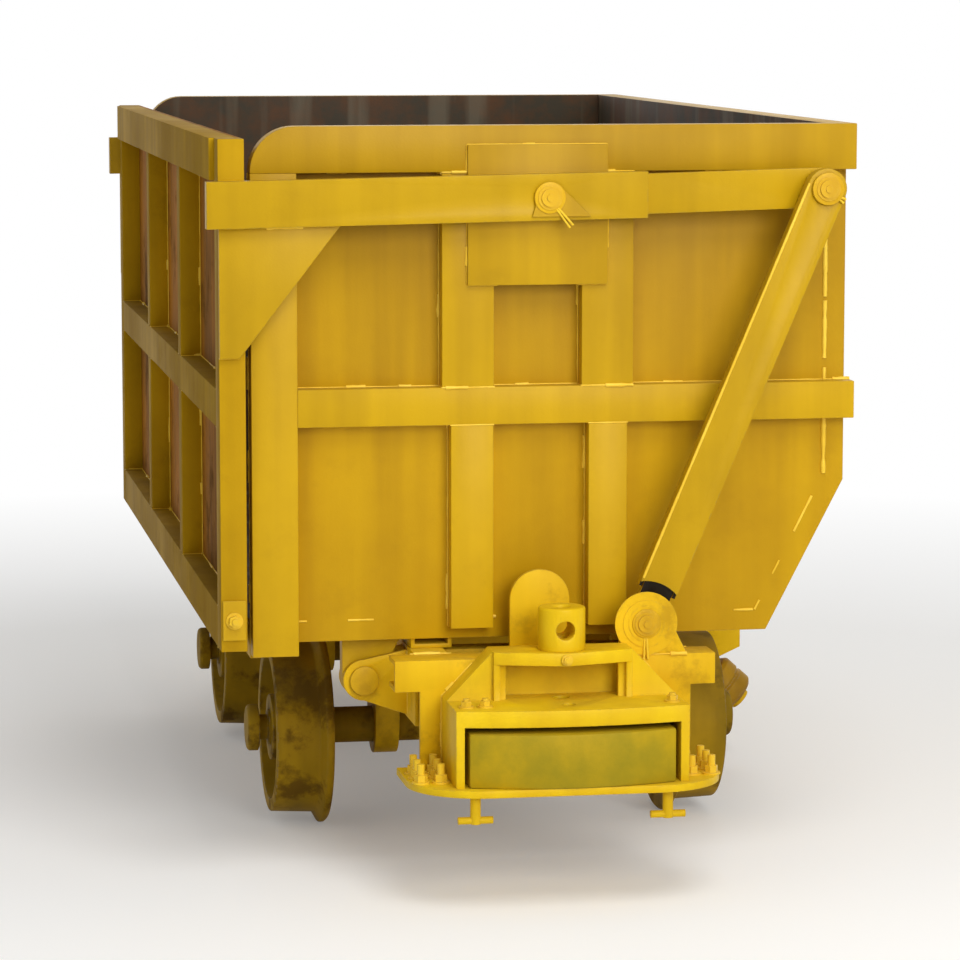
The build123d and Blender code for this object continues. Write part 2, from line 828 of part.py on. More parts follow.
def link_plane(depth):
    """A plane at a depth, with its origin at the rod's foot and X towards the lever's end."""
    origin = (link_foot[0], depth_y(depth), link_foot[1])
    return Plane(origin=origin, x_dir=(link_run, 0, link_rise), z_dir=(0, -1, 0))


tongue_back = link_front - link_wall - tongue_thickness
eye_radius = end_pin_radius + end_eye_clearance
with BuildPart() as link_rods:
    with BuildSketch(link_plane(link_back)):
        rect_between((link_start, link_length), (-link_width / 2, link_width / 2))
        with Locations((link_length, 0)):
            Circle(link_width / 2)
    extrude(amount=link_depth)
    with BuildSketch(link_plane(link_back)):
        rect_between((link_start, link_length - link_width),
                     (-link_width / 2 + link_wall, link_width / 2 - link_wall))
    extrude(amount=link_depth - link_wall, mode=Mode.SUBTRACT)
    with BuildSketch(link_plane(tongue_back)):
        rect_between((0, link_start + tongue_overlap), (-tongue_half, tongue_half))
        Circle(tongue_eye_radius)
    extrude(amount=tongue_thickness)
    with BuildSketch(link_plane(link_back)):
        Circle(link_pin_radius + pin_gap)
        with Locations((link_length, 0)):
            Circle(eye_radius)
    extrude(amount=link_depth, mode=Mode.SUBTRACT)
    mirror(about=Plane.XZ)
finish(link_rods, "link_rods")

lever_front = lever_back + lever_thin
with BuildPart() as lever_end_pins:
    for start, stop, radius in (
        (lever_front, link_back - washer_play, end_collar_radius),
        (link_back - washer_play, link_front + washer_play, end_pin_radius),
        (link_front + washer_play, link_front + washer_play + end_washer_thickness,
         end_washer_radius),
    ):
        with BuildSketch(end_plane(start)):
            with Locations(lever_end):
                Circle(radius)
        extrude(amount=stop - start)
    mirror(about=Plane.XZ)
finish(lever_end_pins, "lever_end_pins")

rear_ear = tongue_back - link_ear_gap - link_ear_width
front_ear = tongue_back + tongue_thickness + link_ear_gap
with BuildPart() as link_ears:
    for start in (rear_ear, front_ear):
        with BuildSketch(end_plane(start)):
            Polygon((link_foot[0] - link_ear_left, sill_top_z),
                    (link_foot[0] + link_ear_right, sill_top_z),
                    (link_foot[0] + link_ear_shoulder[0], link_foot[1] + link_ear_shoulder[1]),
                    (link_foot[0] - link_ear_left, link_foot[1]), align=None)
            with Locations(link_foot):
                Circle(link_ear_radius)
                Circle(link_pin_radius + fit_gap, mode=Mode.SUBTRACT)
        extrude(amount=link_ear_width)
    mirror(about=Plane.XZ)
finish(link_ears, "link_ears")

pin_back = rear_ear - washer_play
pin_front = front_ear + link_ear_width + washer_play
with BuildPart() as link_pins:
    for start, stop, radius in (
        (pin_back - link_washer_thickness, pin_back, link_washer_radius),
        (pin_back, pin_front, link_pin_radius),
        (pin_front, pin_front + link_washer_thickness, link_washer_radius),
    ):
        with BuildSketch(end_plane(start)):
            with Locations(link_foot):
                Circle(radius)
        extrude(amount=stop - start)
    mirror(about=Plane.XZ)
finish(link_pins, "link_pins")

# Dump roller on its arm, its shaft tilted so that it lies level when the tub is tipped
roller_axis = (cos(radians(tip_angle)), 0, -sin(radians(tip_angle)))


def along_roller(distance):
    """A plane across the roller's shaft, at a distance outwards from the roller's middle."""
    origin = (roller_centre[0] + distance * roller_axis[0], 0,
              roller_centre[1] + distance * roller_axis[2])
    return Plane(origin=origin, x_dir=(0, 1, 0), z_dir=roller_axis)


boss_start = -roller_width / 2 - roller_side_gap
arm_front_x = roller_arm_x + roller_arm_depth
boss_mid = along_roller(boss_start - roller_boss_length / 2).origin
with BuildPart() as roller_arm:
    with BuildSketch(Plane.XZ.offset(-roller_arm_width / 2)):
        rect_between((roller_arm_x, arm_front_x), (roller_arm_foot_z, belt_high_z))
        Polygon((roller_arm_x, roller_knee_z), (arm_front_x, roller_knee_z),
                (arm_front_x, roller_arm_foot_z),
                (boss_mid.X + roller_neck_front[0], boss_mid.Z + roller_neck_front[1]),
                (boss_mid.X + roller_neck_back[0], boss_mid.Z + roller_neck_back[1]), align=None)
    extrude(amount=roller_arm_width)
    with BuildSketch(along_roller(boss_start)):
        Circle(roller_boss_radius)
    extrude(amount=-roller_boss_length)
    with BuildSketch(along_roller(boss_start)):
        Circle(roller_shaft_radius)
    extrude(amount=roller_width + 2 * roller_side_gap)
    with BuildSketch(along_roller(roller_width / 2 + roller_side_gap)):
        Circle(roller_washer_radius)
    extrude(amount=roller_washer_thickness)
finish(roller_arm, "roller_arm")

with BuildPart() as roller_gusset:
    with BuildSketch(station_plane(0, roller_web)):
        low = (slope_foot[0] + (slope_head[0] - slope_foot[0]) * roller_gusset_share,
               slope_foot[1] + (slope_head[1] - slope_foot[1]) * roller_gusset_share)
        Polygon(low, slope_head, (slope_head[0], belt_low_z), (roller_arm_x, belt_low_z),
                (roller_arm_x, roller_knee_z + roller_gusset_gap), align=None)
    extrude(amount=roller_web)
finish(roller_gusset, "roller_gusset")

with BuildPart() as dump_roller:
    with BuildSketch(Plane.XZ):
        half = roller_width / 2
        with BuildLine():
            Polyline(
                (roller_shaft_radius + roller_gap, -half),
                (roller_radius - roller_edge, -half),
                (roller_radius, -half + roller_edge),
                (roller_radius, -roller_groove_half),
                (roller_radius - roller_groove, 0),
                (roller_radius, roller_groove_half),
                (roller_radius, half - roller_edge),
                (roller_radius - roller_edge, half),
                (roller_shaft_radius + roller_gap, half),
                close=True,
            )
        make_face()
    revolve(axis=Axis.Z)
dump_roller.part = along_roller(0).location * dump_roller.part
finish(dump_roller, "dump_roller")
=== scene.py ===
"""Looks of the side dump ore cart: paint, rust, welds, bolts and pins on its fixed steelwork."""

import random
from math import cos, radians, sin, tau

import bmesh
import bpy
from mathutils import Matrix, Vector
from mathutils.bvhtree import BVHTree


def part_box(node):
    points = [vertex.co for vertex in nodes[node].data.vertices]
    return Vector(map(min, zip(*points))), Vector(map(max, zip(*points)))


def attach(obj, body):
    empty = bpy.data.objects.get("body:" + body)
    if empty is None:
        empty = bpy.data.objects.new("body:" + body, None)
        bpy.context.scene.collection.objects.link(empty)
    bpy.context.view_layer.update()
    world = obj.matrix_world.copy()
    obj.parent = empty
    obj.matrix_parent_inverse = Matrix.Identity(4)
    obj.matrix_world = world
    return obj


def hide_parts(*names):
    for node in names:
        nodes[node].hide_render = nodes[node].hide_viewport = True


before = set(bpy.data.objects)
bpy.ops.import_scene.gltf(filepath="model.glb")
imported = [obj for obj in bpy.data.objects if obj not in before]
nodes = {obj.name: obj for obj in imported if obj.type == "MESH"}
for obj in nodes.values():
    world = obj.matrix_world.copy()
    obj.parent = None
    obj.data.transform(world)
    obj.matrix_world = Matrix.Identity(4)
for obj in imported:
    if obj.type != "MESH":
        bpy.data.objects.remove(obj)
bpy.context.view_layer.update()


# Wheelsets: cast steel wheels pressed on a forged axle that turns in plain bearings. They got
# one thin coat of the yellow, which is dusty and worn through where the wheels roll on rails.
def linear(hex_colour):
    """An sRGB hex colour as linear RGBA."""
    shares = [int(hex_colour[i:i + 2], 16) / 255 for i in (1, 3, 5)]
    return [s / 12.92 if s <= 0.04045 else ((s + 0.055) / 1.055) ** 2.4 for s in shares] + [1.0]


def add(tree, kind, inputs=None, **settings):
    """Adds a node. inputs maps a socket's name or number to a value, to another node's socket,
    or to another node, whose first output is meant."""
    made = tree.nodes.new(kind)
    for name, value in settings.items():
        setattr(made, name, value)
    for socket, value in (inputs or {}).items():
        if isinstance(value, bpy.types.Node):
            value = value.outputs[0]
        if isinstance(value, bpy.types.NodeSocket):
            tree.links.new(value, made.inputs[socket])
        else:
            made.inputs[socket].default_value = value
    return made


def cleared(owner):
    """The node tree of a new material or world, emptied."""
    owner.use_nodes = True
    owner.node_tree.nodes.clear()
    return owner.node_tree


def layered(tree, below, above, *fades):
    """Lays one colour over another, and gives the new colour and the upper one's share. Each
    fade is a value, where on it the share begins, where it is full, and how much that is."""
    share = None
    for value, begins, full, most in fades:
        fade = add(tree, "ShaderNodeMapRange", {"Value": value, "From Min": begins,
                                                "From Max": full, "To Max": most})
        share = fade if share is None else add(tree, "ShaderNodeMath", {0: share, 1: fade},
                                               operation="MULTIPLY")
    factor, first, second, result = 0, 6, 7, 2
    mixed = add(tree, "ShaderNodeMix", {factor: share, first: below, second: above},
                data_type="RGBA")
    return mixed.outputs[result], share


def coated_steel(name, coat, shade, rust, dust, gloss, rust_share, dust_share, wear_share,
                 worn="#8f7c3c", inside=None, rim=0.05, specular=0.13, painted_top_shade=0.0, painted_side_shade=0.0):
    """Sprayed coat on steel plate: cloudy colour, runs, rust, settled dust and rubbed edges.
    gloss is the clean coat's roughness, rim is how softly the rust begins, the top shade is
    painted shade that darkens the plates towards the top, the side shade is painted shade on
    faces that don't look along the track, and inside describes bare lining."""
    material = bpy.data.materials.new(name)
    tree = cleared(material)
    place = add(tree, "ShaderNodeTexCoord").outputs
    where, normal = place["Object"], place["Normal"]
    height = add(tree, "ShaderNodeSeparateXYZ", {0: where}).outputs["Z"]
    facing = add(tree, "ShaderNodeSeparateXYZ", {0: normal}).outputs

    # Cloudiness is about 400 mm across, and the runs are 60 mm wide and hang down the plates
    clouds = add(tree, "ShaderNodeTexNoise", {"Vector": where, "Scale": 2.4, "Detail": 5.0,
                                              "Roughness": 0.6})
    stretched = add(tree, "ShaderNodeMapping", {"Vector": where, "Scale": (16.0, 16.0, 1.0)})
    runs = add(tree, "ShaderNodeTexNoise", {"Vector": stretched, "Scale": 1.0, "Detail": 3.0})
    cloud_part, run_part = 0.6, 0.4
    cloudy = add(tree, "ShaderNodeMath", {0: clouds, 1: cloud_part}, operation="MULTIPLY")
    cloudy = add(tree, "ShaderNodeMath", {0: runs, 1: run_part, 2: cloudy},
                 operation="MULTIPLY_ADD")
    colour, _ = layered(tree, linear(coat), linear(shade), (cloudy, 0.40, 0.62, 1.0))

    # Rust and dirt: patches of 100 mm with a ragged rim, thicker towards the wheels
    patches = add(tree, "ShaderNodeTexNoise", {"Vector": where, "Scale": 8.0, "Detail": 9.0,
                                               "Roughness": 0.68})
    low_down = add(tree, "ShaderNodeMapRange", {"Value": height, "From Min": 1.3,
                                                "From Max": 0.1, "To Max": 0.10})
    patchy = add(tree, "ShaderNodeMath", {0: patches, 1: low_down}, operation="ADD")
    rust_level = 0.65
    colour, dirt = layered(tree, colour, linear(rust),
                           (patchy, rust_level - rim, rust_level + rim, rust_share))

    # Painted shade: the plates darken towards the top in streaks, fading out by their middle
    if painted_top_shade:
        shade_streak_share = 0.5
        top_shade_height = add(tree, "ShaderNodeMath", {0: runs, 1: shade_streak_share, 2: height},
                      operation="MULTIPLY_ADD")
        colour, _ = layered(tree, colour, linear(rust), (top_shade_height, 1.05, 1.75, painted_top_shade))

    # Painted shade: faces that don't look along the track are darkened in clouds, as the door's
    # side lies in shade
    if painted_side_shade:
        endwise = add(tree, "ShaderNodeMath", {0: facing["Y"]}, operation="ABSOLUTE")
        colour, _ = layered(tree, colour, linear("#4a340a"), (endwise, 0.7, 0.5, painted_side_shade),
                            (cloudy, 0.10, 0.50, 1.0))

    # Dust settles on what faces up
    colour, settled = layered(tree, colour, linear(dust), (facing["Z"], 0.35, 0.95, dust_share),
                              (patches, 0.35, 0.60, 1.0))

    # Edges are rubbed over a band of 5 mm, broken up by chips of about 10 mm
    rounded = add(tree, "ShaderNodeBevel", {"Radius": 0.005}, samples=4)
    true_normal = add(tree, "ShaderNodeNewGeometry").outputs["Normal"]
    flatness = add(tree, "ShaderNodeVectorMath", {0: rounded, 1: true_normal},
                   operation="DOT_PRODUCT").outputs["Value"]
    chips = add(tree, "ShaderNodeTexNoise", {"Vector": where, "Scale": 75.0, "Detail": 4.0,
                                             "Roughness": 0.7})
    colour, rubbed = layered(tree, colour, linear(worn), (flatness, 0.985, 0.90, wear_share),
                             (chips, 0.46, 0.60, 1.0))
    bare_shine = 0.35
    metal = add(tree, "ShaderNodeMath", {0: rubbed, 1: bare_shine}, operation="MULTIPLY")

    # The lining is the face that looks at the middle of the tub: bare plate scoured by ore
    dulled = [(dirt, 0.30), (settled, 0.25)]
    if inside:
        to_middle = add(tree, "ShaderNodeVectorMath", {0: inside["middle"], 1: where},
                        operation="SUBTRACT")
        inward = add(tree, "ShaderNodeVectorMath", {0: to_middle, 1: normal},
                     operation="DOT_PRODUCT").outputs["Value"]
        fades = [(inward, 0.0, 0.02, 1.0)]
        blur = 0.002
        for outward, reach in inside["shell"]:
            beyond = add(tree, "ShaderNodeVectorMath", {0: where, 1: outward},
                         operation="DOT_PRODUCT").outputs["Value"]
            fades.append((beyond, reach + blur, reach, 1.0))
        bare, _ = layered(tree, linear(inside["steel"]), linear(inside["rust"]),
                          (patches, 0.40, 0.62, 1.0))
        scoured, _ = layered(tree, bare, linear(inside["scour"]), (runs, 0.52, 0.66, 0.5))
        colour, lining_share = layered(tree, colour, scoured, *fades)
        dulled.append((lining_share, 0.15))

    # The coat's gloss is cloudy as its colour is, and rust, dust and lining are duller
    cloudy_gloss = 0.14
    roughness = add(tree, "ShaderNodeMapRange", {"Value": clouds, "From Min": 0.3,
                                                 "From Max": 0.7, "To Min": gloss,
                                                 "To Max": gloss + cloudy_gloss})
    for share, dulling in dulled:
        roughness = add(tree, "ShaderNodeMath", {0: share, 1: dulling, 2: roughness},
                        operation="MULTIPLY_ADD")

    # Relief: buckled plate 200 mm across, the orange peel of the spray, 4 mm across, and rust
    buckle = add(tree, "ShaderNodeTexNoise", {"Vector": where, "Scale": 5.0, "Detail": 2.0})
    peel = add(tree, "ShaderNodeTexNoise", {"Vector": where, "Scale": 240.0, "Detail": 2.0})
    crust = add(tree, "ShaderNodeMath", {0: patches, 1: dirt}, operation="MULTIPLY")
    relief = add(tree, "ShaderNodeBump", {"Height": buckle, "Strength": 0.5, "Distance": 0.006})
    for layer, strength, depth in ((peel, 0.25, 0.0008), (crust, 0.5, 0.002)):
        relief = add(tree, "ShaderNodeBump", {"Height": layer, "Strength": strength,
                                              "Distance": depth, "Normal": relief})
    shader = add(tree, "ShaderNodeBsdfPrincipled",
                 {"Base Color": colour, "Metallic": metal, "Roughness": roughness,
                  "Normal": relief, "IOR": 1.5, "Specular IOR Level": specular})
    add(tree, "ShaderNodeOutputMaterial", {"Surface": shader})
    return material


def modifier_tree(name, sizes):
    """A node tree for a modifier, with named inputs for its sizes, and what those give."""
    tree = bpy.data.node_groups.new(name, "GeometryNodeTree")
    for size, kind, value in (("Geometry", "Geometry", None),) + sizes:
        made = tree.interface.new_socket(size, in_out="INPUT", socket_type="NodeSocket" + kind)
        if value is not None:
            made.default_value = value
    tree.interface.new_socket("Geometry", in_out="OUTPUT", socket_type="NodeSocketGeometry")
    return tree, add(tree, "NodeGroupInput").outputs


def shading_tree():
    """Node tree: smooth shading that keeps the edges sharper than a limit."""
    tree, entry = modifier_tree("shading by edge angle", (("Sharp From", "Float", radians(34)),))
    angle = add(tree, "GeometryNodeInputMeshEdgeAngle").outputs["Unsigned Angle"]
    sharp = add(tree, "FunctionNodeCompare", {0: angle, 1: entry["Sharp From"]},
                operation="GREATER_THAN")
    smooth = add(tree, "GeometryNodeSetShadeSmooth", {"Geometry": entry["Geometry"],
                                                      "Shade Smooth": True}, domain="FACE")
    kept = add(tree, "GeometryNodeSetShadeSmooth", {"Geometry": smooth, "Selection": sharp,
                                                    "Shade Smooth": False}, domain="EDGE")
    add(tree, "NodeGroupOutput", {"Geometry": kept})
    return tree


shading = shading_tree()
same_point, same_plane, same_curve = 0.00001, radians(0.5), radians(40)


def break_edges(steel, edge):
    """Joins a mesh's triangles and takes the sharpness off its edges by that width."""
    steel.modifiers.new("one skin", "WELD").merge_threshold = same_point
    flat = steel.modifiers.new("flat faces", "DECIMATE")
    flat.decimate_type = "DISSOLVE"
    flat.angle_limit = same_plane
    flat.delimit = {"NORMAL", "MATERIAL"}
    bevel = steel.modifiers.new("broken edges", "BEVEL")
    bevel.width = edge
    bevel.segments = 2
    bevel.limit_method = "ANGLE"
    bevel.angle_limit = same_curve
    steel.modifiers.new("shading", "NODES").node_group = shading


def dress(names, material, edge=0.0016):
    """Gives CAD nodes a finish and broken edges."""
    for name in names:
        steel = nodes[name]
        steel.data.materials.clear()
        steel.data.materials.append(material)
        break_edges(steel, edge)


cast_steel = coated_steel("cast steel under thin dusty enamel", coat="#a8830a", shade="#7a6008",
                          rust="#50360c", dust="#8c7638", gloss=0.55, rust_share=0.75,
                          dust_share=0.5, wear_share=0.8, worn="#7d7a70")
dress(["wheels_front", "wheels_rear", "axle_front", "axle_rear"], cast_steel, edge=0.0025)

# Underframe: rolled channel sills with box cross beams, welded and sprayed in one go. It sits
# low, so it is the dirtiest part of the cart, with ore dust baked on the flanges.
frame_enamel = coated_steel("alkyd enamel on rolled channel, dusty", coat="#e2b610",
                            shade="#cc9f0c", rust="#7a5210", dust="#a88a3c", gloss=0.42,
                            rust_share=0.35, dust_share=0.5, wear_share=0.4)
dress(["sills", "cross_beams", "axle_bearings", "hinge_ears", "headstocks", "link_ears",
       "end_lugs"], frame_enamel)

# Couplers: flame cut plate welded to a box that holds the spring buffer. Their coat is a
# cleaner, lighter lemon yellow than the tub's, and it stays glossy between the knocks.
coupler_enamel = coated_steel("alkyd enamel on flame cut plate, lighter lemon", coat="#e2be12",
                              shade="#d2a90e", rust="#8a6414", dust="#c9a83c", gloss=0.34,
                              rust_share=0.12, dust_share=0.25, wear_share=0.5)
dress(["coupler_housings", "pin_sockets", "buffer_shelves", "drop_pins"], coupler_enamel)

# Buffer heads: forged caps that butt against the next cart, which has rubbed their faces to
# an oily olive through the yellow.
buffer_enamel = coated_steel("alkyd enamel on forged steel, rubbed", coat="#b8960c",
                             shade="#a0870e", rust="#7c7418", dust="#b0952c", gloss=0.40,
                             rust_share=0.75, dust_share=0.3, wear_share=0.3, rim=0.16)
dress(["buffer_heads"], buffer_enamel, edge=0.004)

# Tub sheets: 8 mm plate, enamelled outside. Inside, the ore has scoured the paint off, and
# the bare steel has rusted dark brown with brighter scratches down the slope.
side_low, side_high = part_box("tub_side")
slope_low, slope_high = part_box("tub_slope")
floor_low, floor_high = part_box("tub_floor")
slope_foot = Vector((slope_low.x, 0.0, slope_low.z))
slope_out = Vector((slope_high.z - slope_low.z, 0.0, slope_low.x - slope_high.x)).normalized()
load_middle = (0.0, 0.0, 0.95)
lining = {"middle": load_middle, "steel": "#3b3326", "rust": "#54351c", "scour": "#6d6350",
          "shell": (((1.0, 0.0, 0.0), side_high.x), (slope_out, slope_out.dot(slope_foot)),
                    ((0.0, 0.0, -1.0), -floor_low.z))}
# The sheets get the strongest painted top shade: darker towards the rim.
tub_enamel = coated_steel("alkyd enamel on 8 mm plate, scoured lining", coat="#c4980c",
                          shade="#b1860a", rust="#7a5410", dust="#a0843c", gloss=0.38,
                          rust_share=0.08, dust_share=0.4, wear_share=0.4, painted_top_shade=0.66,
                          inside=lining)
dress(["tub_floor", "tub_slope", "tub_side", "tub_end_walls"], tub_enamel)

# Tub stiffening: flat bar and folded plate, stitched to the sheets with fillet welds and
# sprayed with them. Its coat is a shade lighter than the sheets', painted light on what
# stands proud, and its painted top shade is weaker.
rib_enamel = coated_steel("alkyd enamel on flat bar", coat="#caa00e", shade="#b9910c",
                          rust="#7d5510", dust="#ab8c3c", gloss=0.36, rust_share=0.08,
                          dust_share=0.4, wear_share=0.3, painted_top_shade=0.42)
dress(["top_bands", "corner_posts", "end_belts", "end_uprights", "boss_plates", "side_belt",
       "side_top_rail", "side_uprights", "slope_ribs", "floor_ribs", "floor_bearers",
       "door_lip", "hinge_arms"], rib_enamel)

# Door: 8 mm plate in a welded frame of bars. It has the worst of the rust, because the ore
# runs over it, and inside it is scoured as bare as the tub.
door_enamel = coated_steel("alkyd enamel on 8 mm plate, stained", coat="#a4680c",
                           shade="#70480c", rust="#46300c", dust="#80642c", gloss=0.62,
                           rust_share=0.85, dust_share=0.5, wear_share=0.2, rim=0.09,
                           specular=0.10, inside=lining)
dress(["door_panel"], door_enamel)
# The bars get painted shade on the faces that don't look along the track.
frame_bar_enamel = coated_steel("alkyd enamel on door bars, painted side shade", coat="#c1970c",
                                shade="#aa820a", rust="#7d5510", dust="#86692a", gloss=0.60,
                                rust_share=0.2, dust_share=0.3, wear_share=0.15, specular=0.08,
                                painted_side_shade=0.38)
dress(["door_posts", "door_rails", "door_uprights"], frame_bar_enamel)

# Levers: flame cut bar that swings on a pin in each end wall and lifts the door, which its
# gussets carry. It is painted as the ribs are, and its edges are chipped where it rubs.
lever_enamel = coated_steel("alkyd enamel on lever bar", coat="#bf970c", shade="#ad870a",
                            rust="#7d5510", dust="#b0903c", gloss=0.33, rust_share=0.08,
                            dust_share=0.3, wear_share=0.6)
dress(["door_levers", "door_gussets"], lever_enamel)


# Rods: channels folded from plate, painted as the levers are. The face is cut back in a hollow
# round the foot's eye, with a hand torch, and the hollow is coated near-black as painted shade.
def middle_of(name):
    """The place across the track and the height of a pin, and how far out it reaches."""
    low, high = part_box(name)
    return (low.x + high.x) / 2, (low.z + high.z) / 2, high.y


def in_scene(name, data):
    """A new object in the scene, at the origin."""
    made = bpy.data.objects.new(name, data)
    bpy.context.scene.collection.objects.link(made)
    return made


def one_skin(mesh):
    """A CAD mesh with its loose triangles joined, to work on."""
    skin = bmesh.new()
    skin.from_mesh(mesh)
    bmesh.ops.remove_doubles(skin, verts=skin.verts, dist=same_point)
    return skin


def end_plates(name, outline, inner, outer):
    """A mesh with a flat plate at both ends of the cart, of one outline in X and Z."""
    shape = bmesh.new()
    for side in (-1, 1):
        face = shape.faces.new([shape.verts.new((x, side * inner, z)) for x, z in outline])
        made = bmesh.ops.extrude_face_region(shape, geom=[face], use_keep_orig=True)
        moved = [item for item in made["geom"] if isinstance(item, bmesh.types.BMVert)]
        bmesh.ops.translate(shape, verts=moved, vec=(0, side * (outer - inner), 0))
    bmesh.ops.recalc_face_normals(shape, faces=shape.faces)
    mesh = bpy.data.meshes.new(name)
    shape.to_mesh(mesh)
    shape.free()
    return mesh


def plain_mesh(piece):
    """What a piece's modifiers make of it, as a mesh of its own."""
    shaped = piece.evaluated_get(bpy.context.evaluated_depsgraph_get())
    return bpy.data.meshes.new_from_object(shaped)


# Painted shade: a near-black coat for the faces of the rod's hollow.
hollow_painted_shade = coated_steel("near-black painted shade in the rod's hollow", coat="#241a0c", shade="#181108", rust="#2c1e0c",
                      dust="#33260f", gloss=0.40, rust_share=0.3, dust_share=0.2,
                      wear_share=0.0)
rod_mesh = nodes["link_rods"].data.copy()
rod_mesh.materials.clear()
rod_mesh.materials.append(lever_enamel)
rod_skin = one_skin(rod_mesh)
rod_skin.to_mesh(rod_mesh)
rod_skin.free()
rods = in_scene("rods", rod_mesh)
rod_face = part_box("link_rods")[1].y
rod_foot, rod_head = (Vector((x, 0, z)) for x, z, _ in (middle_of("link_pins"),
                                                        middle_of("lever_end_pins")))
hollow_depth, hollow_radius, hollow_sides, past_face = 0.0062, 0.080, 48, 0.0138
hollow = [(rod_foot.x + hollow_radius * cos(tau * i / hollow_sides),
           rod_foot.z + hollow_radius * sin(tau * i / hollow_sides)) for i in range(hollow_sides)]
cutter = in_scene("hollow", end_plates("hollow", hollow, rod_face - hollow_depth,
                                       rod_face + past_face))
cutter.data.materials.append(hollow_painted_shade)
cut = rods.modifiers.new("hollow", "BOOLEAN")
cut.operation = "DIFFERENCE"
cut.solver = "EXACT"
cut.material_mode = "TRANSFER"
cut.object = cutter
rods.data = plain_mesh(rods)
rods.modifiers.clear()
bpy.data.objects.remove(cutter)
break_edges(rods, edge=0.003)
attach(rods, "links")
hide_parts("link_rods")

# Pins: turned bright steel, fixed in the piece that carries them. They were painted over with
# the rest, and turning in their eyes has rubbed them bare at their rims.
pin_steel = coated_steel("turned steel pin, painted over", coat="#d6a918", shade="#bd9012",
                         rust="#7d5a18", dust="#a88c40", gloss=0.32, rust_share=0.25,
                         dust_share=0.2, wear_share=0.4, worn="#c0a040")
dress(["lever_pins", "lever_end_pins", "link_pins", "hinge_pins"], pin_steel)

# Dump roller: a cast wheel on a stub shaft at the foot of a welded arm. It runs up the ramp
# beside the track, so its rim is bare.
dress(["roller_arm", "roller_gusset"], frame_enamel)
roller_steel = coated_steel("cast iron roller, rim rubbed bare", coat="#bd9018",
                            shade="#8a6614", rust="#573a14", dust="#9c803c", gloss=0.38,
                            rust_share=0.7, dust_share=0.4, wear_share=0.9, worn="#8d8a80")
dress(["dump_roller"], roller_steel)


# Fillet welds: ripples of weld metal along the joints, left as laid and painted over. Their
# enamel is painted paler than the plates' as a painted highlight, the brightest lines on the
# cart.
def faces_of(names):
    """A search tree of several CAD nodes' faces."""
    points, faces = [], []
    for name in names:
        start = len(points)
        mesh = nodes[name].data
        points += [v.co.copy() for v in mesh.vertices]
        faces += [[start + i for i in polygon.vertices] for polygon in mesh.polygons]
    return BVHTree.FromPolygons(points, faces)


def runs_along(start, end, carrier):
    """The stretches of a line, found in steps of 20 mm, that lie on a carrier's faces."""
    step, reach, shortest = 0.02, 0.0007, 0.03
    count = max(1, round((end - start).length / step))
    found = []
    first = None
    for i in range(count + 1):
        middle = start.lerp(end, (i + 0.5) / count)
        touches = i < count and carrier.find_nearest(middle, reach)[0] is not None
        if touches and first is None:
            first = i
        elif not touches and first is not None:
            run = (start.lerp(end, first / count), start.lerp(end, i / count))
            if (run[1] - run[0]).length >= shortest:
                found.append(run)
            first = None
    return found


def seams(joints):
    """Where the sharp edges of each welded node lie on the faces of what carries it."""
    sharp_from = radians(30)
    found = []
    for name, carriers in joints:
        skin = one_skin(nodes[name].data)
        bmesh.ops.dissolve_limit(skin, angle_limit=same_plane, verts=skin.verts,
                                 edges=skin.edges)
        carrier = faces_of(carriers)
        for edge in skin.edges:
            if len(edge.link_faces) == 2 and edge.calc_face_angle(0.0) >= sharp_from:
                start, end = (v.co.copy() for v in edge.verts)
                found += runs_along(start, end, carrier)
        skin.free()
    return found


def bead_tree():
    """Node tree: a lumpy weld bead along each edge of a mesh."""
    tree, entry = modifier_tree("weld bead", (("Bead Radius", "Float", 0.0048),
                                              ("Ripple Spacing", "Float", 0.007),
                                              ("Lumpiness", "Float", 0.5),
                                              ("Finish", "Material", None)))
    line = add(tree, "GeometryNodeMeshToCurve", {"Mesh": entry["Geometry"]})
    rippled = add(tree, "GeometryNodeResampleCurve", {"Curve": line,
                                                      "Length": entry["Ripple Spacing"]},
                  mode="LENGTH")
    girth = add(tree, "GeometryNodeInputNamedAttribute", {"Name": "girth"},
                data_type="FLOAT").outputs["Attribute"]

    # Lumps about 18 mm apart swell and thin the bead, but never to less than a thread
    thread = 0.0009
    width = add(tree, "ShaderNodeTexNoise", {"Scale": 55.0, "Detail": 2.0})
    for operation, by in (("SUBTRACT", 0.5), ("MULTIPLY", 3.0),
                          ("MULTIPLY", entry["Lumpiness"]), ("ADD", 1.0),
                          ("MULTIPLY", entry["Bead Radius"]), ("MULTIPLY", girth),
                          ("MAXIMUM", thread)):
        width = add(tree, "ShaderNodeMath", {0: width, 1: by}, operation=operation)
    ring = add(tree, "GeometryNodeCurvePrimitiveCircle", {"Resolution": 6, "Radius": 1.0})
    bead = add(tree, "GeometryNodeCurveToMesh", {"Curve": rippled, "Profile Curve": ring,
                                                 "Scale": width, "Fill Caps": True})
    real = add(tree, "GeometryNodeRealizeInstances", {0: bead})
    smooth = add(tree, "GeometryNodeSetShadeSmooth", {"Geometry": real})
    painted = add(tree, "GeometryNodeSetMaterial", {"Geometry": smooth,
                                                    "Material": entry["Finish"]})
    add(tree, "NodeGroupOutput", {"Geometry": painted})
    return tree


def grown(name, mesh, tree, sizes, body):
    """Runs a node tree over a mesh and keeps the result as a plain mesh that rides on a body."""
    source = in_scene(name + "_source", mesh)
    modifier = source.modifiers.new("tree", "NODES")
    modifier.node_group = tree
    sockets = {item.name: item.identifier for item in tree.interface.items_tree
               if item.in_out == "INPUT"}
    for socket, value in sizes.items():
        modifier[sockets[socket]] = value
    made = plain_mesh(source)
    bpy.data.objects.remove(source)
    made.name = name
    piece = in_scene(name, made)
    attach(piece, body)


